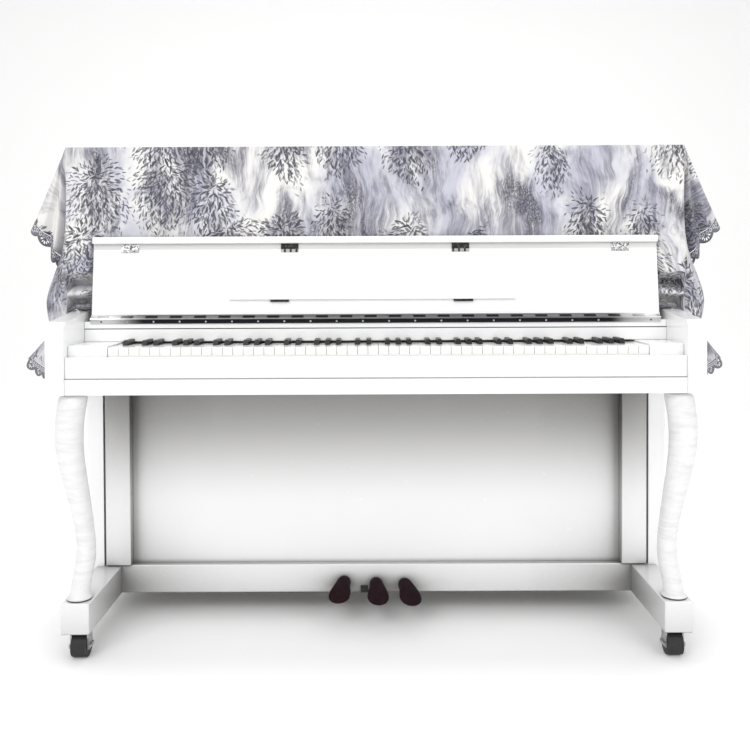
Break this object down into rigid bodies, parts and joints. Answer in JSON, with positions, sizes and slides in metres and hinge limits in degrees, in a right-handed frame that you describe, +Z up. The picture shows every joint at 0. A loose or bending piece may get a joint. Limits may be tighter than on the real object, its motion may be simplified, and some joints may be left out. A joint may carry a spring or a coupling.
{
  "type": "printed piano cover with lace edging, draped over an upright piano",
  "caption": "Printed half cover with scalloped lace edging, draped over a plain white upright piano with its fallboard raised.",
  "frame": {"origin": "middle of the whole piece, on the floor under its casters", "axes": "+Z up, +X to the right seen from the keyboard side, -Y towards the player"},
  "size_m": [1.8438, 0.6228, 1.1845],
  "materials": {
    "printed_cloth": "matte",
    "lace": "matte",
    "white_lacquer": "gloss",
    "key_white": "gloss",
    "key_black": "satin",
    "steel": "satin",
    "wheel_rubber": "matte",
    "brown_velvet": "matte",
    "spruce": "satin"
  },
  "bodies": {
    "root": {"cover": "printed_cloth", "lace_edging": "lace", "lid": "white_lacquer", "side_left": "white_lacquer", "side_right": "white_lacquer", "upper_board": "white_lacquer", "lower_panel": "white_lacquer", "bottom_board": "white_lacquer", "keybed": "white_lacquer", "key_slip": "white_lacquer", "key_block_left": "white_lacquer", "key_block_right": "white_lacquer", "hinge_rail": "white_lacquer", "fallboard": "white_lacquer", "fallboard_flap": "white_lacquer", "music_desk": "white_lacquer", "pilaster_left": "white_lacquer", "pilaster_right": "white_lacquer", "toe_block_left": "white_lacquer", "toe_block_right": "white_lacquer", "leg_left": "white_lacquer", "leg_right": "white_lacquer", "key_frame": "key_white", "white_keys": "key_white", "slip_strip": "key_black", "black_keys": "key_black", "long_hinge": "steel", "flap_hinge_1": "steel", "flap_hinge_2": "steel", "flap_hinge_3": "steel", "flap_hinge_4": "steel", "desk_hinge_left": "steel", "desk_hinge_right": "steel", "caster_front_left": "steel", "caster_front_right": "steel", "caster_back_left": "steel", "caster_back_right": "steel", "wheel_front_left": "wheel_rubber", "wheel_front_right": "wheel_rubber", "wheel_back_left": "wheel_rubber", "wheel_back_right": "wheel_rubber", "pedal_sleeve_left": "brown_velvet", "pedal_sleeve_middle": "brown_velvet", "pedal_sleeve_right": "brown_velvet", "pedal_stop": "key_black", "back_post_1": "spruce", "back_post_2": "spruce", "back_post_3": "spruce", "back_post_4": "spruce", "back_beam_low": "spruce", "back_beam_high": "spruce", "soundboard": "spruce"}
  },
  "joints": []
}
